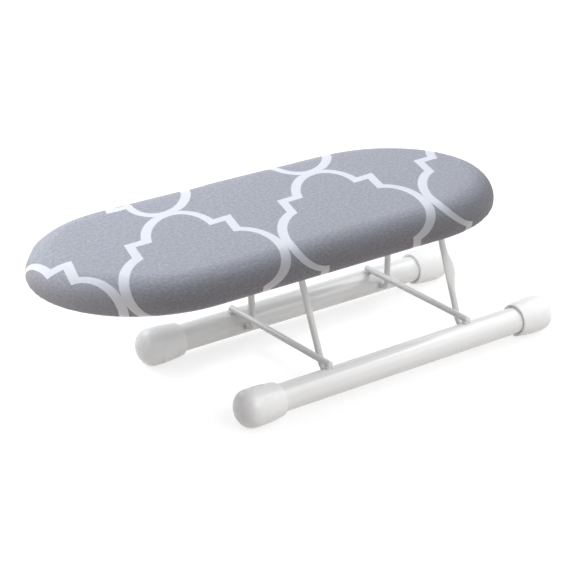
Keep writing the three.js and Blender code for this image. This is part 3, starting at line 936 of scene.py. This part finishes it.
shape, rings = carried_round(section, around, False)
flat = {}
for i, (spot, normal, distance) in enumerate(board_edge(around)):
    pull, crest = gathers(spot, distance)
    start = spot - normal * edge_round
    aslant = min(1, max(0, (normal.dot(print_drift.normalized()) + 0.25) / 0.6))
    drift = print_drift * aslant ** 2 * (3 - 2 * aslant)
    for row, ring in enumerate(rings):
        inset, height = section[row]
        flat[row * around + i] = start + normal * fallen[row] * print_stretch + drift * (top - height)
        under = (fallen[row] - fallen[hem_start - 3]) / (fallen[stitch_row] - fallen[hem_start - 3])
        under = min(1, max(0, under))
        lip = lip_share(inset) if row > hem_start else 0
        co = ring[i].co
        slack = slack_share * noise.noise(Vector((co.x * 26, co.y * 26, co.z * 60)))
        slack *= slack_depth * min(1, fallen[row] / slack_run)
        outward = (gather_wall * pull * crest * under + slack) * (1 - lip)
        ring[i].co += normal.to_3d() * (outward + gather_in * pull * crest * lip)
        ring[i].co.z += gather_drop * pull * (crest * lip + gather_sag * lip)
close_over(shape, rings[0], cover_rings)
cut_layer = shape.verts.layers.float_vector.new("cut")
shape.verts.index_update()
for vert in shape.verts:
    lies = flat.get(vert.index, vert.co.xy)
    slips = [slip * math.exp(-((vert.co.xy - at).length / reach) ** 2) for at, reach, slip in print_slips]
    vert[cut_layer] = sum(slips, lies).to_3d()
    if vert.co.z > top - top_depth:
        spread = vert.co.xy.to_3d()
        vert.co.z += top_wave * noise.noise(spread * 19) + top_ripple * noise.noise(spread * 47)
bmesh.ops.remove_doubles(shape, verts=shape.verts, dist=merge_gap)
cloth_area = sum(face.calc_area() for face in shape.faces)
cover = closed_piece("printed_cover", shape, crease=75)
thick = cover.modifiers.new("cloth_thickness", "SOLIDIFY")
thick.thickness = cloth
thick.offset = -1
apply_modifiers(cover)
mount(cover, printed_cotton, "board", "printed_cotton", "cotton_cover")


# Elastic: a 3 mm braided cord in a closed ring, threaded through the casing of the hem.
# It draws the hem in under the board and holds the cover.
elastic_radius = 0.0015
elastic_inset = 0.021


def waves(at, scale, distortion):
    """Soft bands over a surface, from 0 to 1."""
    return add_node(at.id_data, "ShaderNodeTexWave", {
        "Vector": at, "Scale": scale, "Distortion": distortion}).outputs["Fac"]


elastic_braid, tree, shader = new_finish("elastic_braid", 0.85)
place = object_place(tree)
plaits = []
for turn in (0.8, -0.8):
    crossed = output_of(tree, "ShaderNodeMapping", {"Vector": place, "Rotation": (0, 0, turn)})
    plaits.append(waves(crossed, 260.0, 1.5))
braid_relief_and_shade = calc("MAXIMUM", *plaits)
# The braid's grooves are bumped in and also painted darker: painted shade between the strands
feed(shader, Base_Color=blend_colour(braid_relief_and_shade, (0.60, 0.60, 0.59), (0.82, 0.82, 0.81)))
add_bump(shader, braid_relief_and_shade, 0.0003)

low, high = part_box("hem_elastic")
elastic_z = (low.z + high.z) / 2
loop = [(*(spot - normal * elastic_inset), elastic_z) for spot, normal, _ in board_edge(420)]
elastic = drawn_wire("hem_cord", loop, elastic_radius, True)
mount(elastic, elastic_braid, "board", "elastic_braid", "hem_elastic")


# Hem stitches: one row of lock stitches in pale thread, 4.2 mm apart, that closes the casing round the
# elastic. They follow the gathers of the hem under the board.
stitch_pitch = 0.0042
stitch_length = 0.0034
stitch_thickness = 0.00055
stitch_sink = 0.00012

thread, tree, shader = new_finish("sewing_thread", 0.7)
twist_relief_and_shade = waves(object_place(tree), 900.0, 2.0)
# The twist's grooves are bumped in and also painted darker: painted shade between the plies
feed(shader, Base_Color=blend_colour(twist_relief_and_shade, (0.60, 0.60, 0.62), (0.78, 0.78, 0.80)))
add_bump(shader, twist_relief_and_shade, 0.0001)

sewing, taken, result = nodes_recipe("stitch_row", {
    "Pitch": "Float", "Length": "Float", "Thickness": "Float", "Finish": "Material"})
seam = geometry_step(sewing, "MeshToCurve", {"Mesh": taken["Geometry"]})
seam = geometry_step(sewing, "ResampleCurve", {"Curve": seam, "Length": taken["Pitch"]}, mode="LENGTH")
bead = geometry_step(sewing, "MeshIcoSphere", {"Radius": 0.5, "Subdivisions": 2})
tangent = geometry_step(sewing, "InputTangent")
heading = output_of(sewing, "FunctionNodeAlignRotationToVector", {"Vector": tangent}, axis="X")
form = output_of(sewing, "ShaderNodeCombineXYZ", {
    0: taken["Length"], 1: taken["Thickness"], 2: taken["Thickness"]})
row = geometry_step(sewing, "InstanceOnPoints", {
    "Points": seam, "Instance": bead, "Rotation": heading, "Scale": form})
end_recipe(sewing, row, taken["Finish"], result, smooth=True)

seam_line = []
lip = lip_share(stitch_inset)
for spot, normal, distance in board_edge(around):
    pull, crest = gathers(spot, distance)
    x, y = spot - normal * (stitch_inset - gather_in * pull * crest * lip)
    seam_line.append((x, y, base + gather_drop * pull * (crest + gather_sag) * lip - stitch_sink))
stitches = follow_recipe("hem_stitches", sewing, line_mesh("seam_line", seam_line), Pitch=stitch_pitch,
                         Length=stitch_length, Thickness=stitch_thickness, Finish=thread)
mount(stitches, thread, "board", "printed_cotton")


# Studio: a pale table top, a pale room and nine soft lamps. Four lamps light everything, three only the board
# and the table, and two only the stand and the table, as with screens between them. The camera stands as in
# the photograph, at the front beyond the nose and above the board.
room_light = 0.04


def seen_directly(path):
    """1 for a ray from the camera, off a glossy surface or through glass, and 0 for a ray of soft light."""
    rays = [path[f"Is {kind} Ray"] for kind in ("Camera", "Glossy", "Transmission")]
    return calc("MAXIMUM", calc("MAXIMUM", rays[0], rays[1]), rays[2])


table_top, tree, shader = new_finish("pale_table_top", 0.8)
shader.inputs["Base Color"].default_value = (0.60, 0.566, 0.542, 1)
shader.inputs["Specular IOR Level"].default_value = 0.1
spread = add_node(tree, "ShaderNodeVectorMath", {0: object_place(tree)}, operation="LENGTH")
level = output_of(tree, "ShaderNodeMapRange", {0: spread.outputs["Value"], 1: 0.35, 2: 1.3, 3: 0.72, 4: 1.0})
glow = output_of(tree, "ShaderNodeEmission", {"Color": (1, 1, 1, 1), "Strength": level})
shade = output_of(tree, "ShaderNodeBsdfDiffuse", {"Color": (0.34, 0.34, 0.34, 1)})
seen = output_of(tree, "ShaderNodeAddShader", {0: glow, 1: shade})
path = add_node(tree, "ShaderNodeLightPath").outputs
direct = seen_directly(path)
mixed = output_of(tree, "ShaderNodeMixShader", {0: direct, 1: shader.outputs[0], 2: seen})
clear = output_of(tree, "ShaderNodeBsdfTransparent")
back = add_node(tree, "ShaderNodeNewGeometry").outputs["Backfacing"]
below = calc("MULTIPLY", back, path["Is Camera Ray"])
mixed = output_of(tree, "ShaderNodeMixShader", {0: below, 1: mixed, 2: clear})
tree.links.new(mixed, tree.nodes["Material Output"].inputs["Surface"])
floor = new_object("table_top", bpy.data.meshes.new("table_top"))
floor.data.from_pydata([(-8, -8, 0), (8, -8, 0), (8, 8, 0), (-8, 8, 0)], [], [(0, 1, 2, 3)])
floor.data.materials.append(table_top)

world = bpy.data.worlds.new("pale_room")
bpy.context.scene.world = world
world.use_nodes = True
tree = world.node_tree
direct = seen_directly(add_node(tree, "ShaderNodeLightPath").outputs)
backdrop = tree.nodes["Background"]
tree.links.new(blend_colour(direct, (1.0, 0.93, 0.90), (1, 1, 1)), backdrop.inputs["Color"])
tree.links.new(calc("MULTIPLY_ADD", direct, 1 - room_light, room_light), backdrop.inputs["Strength"])

stand_pieces = ("foot_tube", "end_cap", "cross_wire", "wire_leg")
board_pieces = ("vented_sheet", "rim_strip", "saddle_clip", "clip_rivets", "foam_layer", "printed_cover",
                "hem_cord", "hem_stitches")
lit_apart = {}
for group, starts in (("stand", stand_pieces), ("board", board_pieces)):
    lit_apart[group] = bpy.data.collections.new(group)
    lit_apart[group].objects.link(floor)
    for thing in bpy.context.scene.objects:
        if thing.name.startswith(starts):
            lit_apart[group].objects.link(thing)
cool, white_light = (0.957, 0.973, 1.0), (1, 1, 1)
board_middle, stand_middle, stand_tail = (0.0, 0.0, 0.1), (0.05, 0.0, 0.02), (0.08, 0.0, 0.02)
square_box = (0.9, 0.9)


def soft_lamp(name, place, power, only=None, aim=board_middle, size=square_box, colour=cool):
    """A soft lamp. It lights everything, or only the table and one group of pieces."""
    lamp = new_object(name, bpy.data.lights.new(name, "AREA"))
    lamp.data.shape = "RECTANGLE"
    lamp.data.size, lamp.data.size_y = size
    lamp.data.energy = power
    lamp.data.color = colour
    lamp.visible_camera = False
    lamp.location = place
    lamp.rotation_euler = (Vector(aim) - Vector(place)).to_track_quat("-Z", "Y").to_euler()
    lamp.light_linking.receiver_collection = lit_apart.get(only)


soft_lamp("rear_softbox", (-0.3, 1.22, 1.1), 14.0)
soft_lamp("nose_side_softbox", (-1.17, 0.38, 1.05), 4.7)
soft_lamp("overhead_softbox", (0.12, -0.05, 1.5), 2.6, aim=(0.1, 0.0, 0.1))
soft_lamp("tail_side_softbox", (1.25, 0.0, 0.95), 6.6)
soft_lamp("board_rear_softbox", (-0.31, 1.27, 1.14), 7.3, "board")
soft_lamp("board_nose_softbox", (-1.22, 0.40, 1.09), 6.2, "board")
soft_lamp("board_front_softbox", (0.05, -1.3, 0.34), 0.8, "board")
soft_lamp("stand_tail_softbox", (1.0, -0.66, 1.0), 4.5, "stand", stand_tail, (0.9, 1.3), white_light)
soft_lamp("stand_front_softbox", (0.1, -1.15, 1.0), 11.4, "stand", stand_middle, (1.0, 0.9), white_light)

camera = new_object("camera", bpy.data.cameras.new("camera"))
camera.data.sensor_width = 36
camera.data.lens = 129.9
camera.location = (-1.08409, -1.28512, 0.83381)
bearing, height, roll = math.radians(-40.160), math.radians(24.205), math.radians(2.655)
camera.rotation_euler = (Matrix.Rotation(bearing, 3, "Z") @ Matrix.Rotation(math.pi / 2 - height, 3, "X")
                         @ Matrix.Rotation(roll, 3, "Z")).to_euler()
bpy.context.scene.camera = camera
bpy.context.scene.view_settings.view_transform = "Standard"
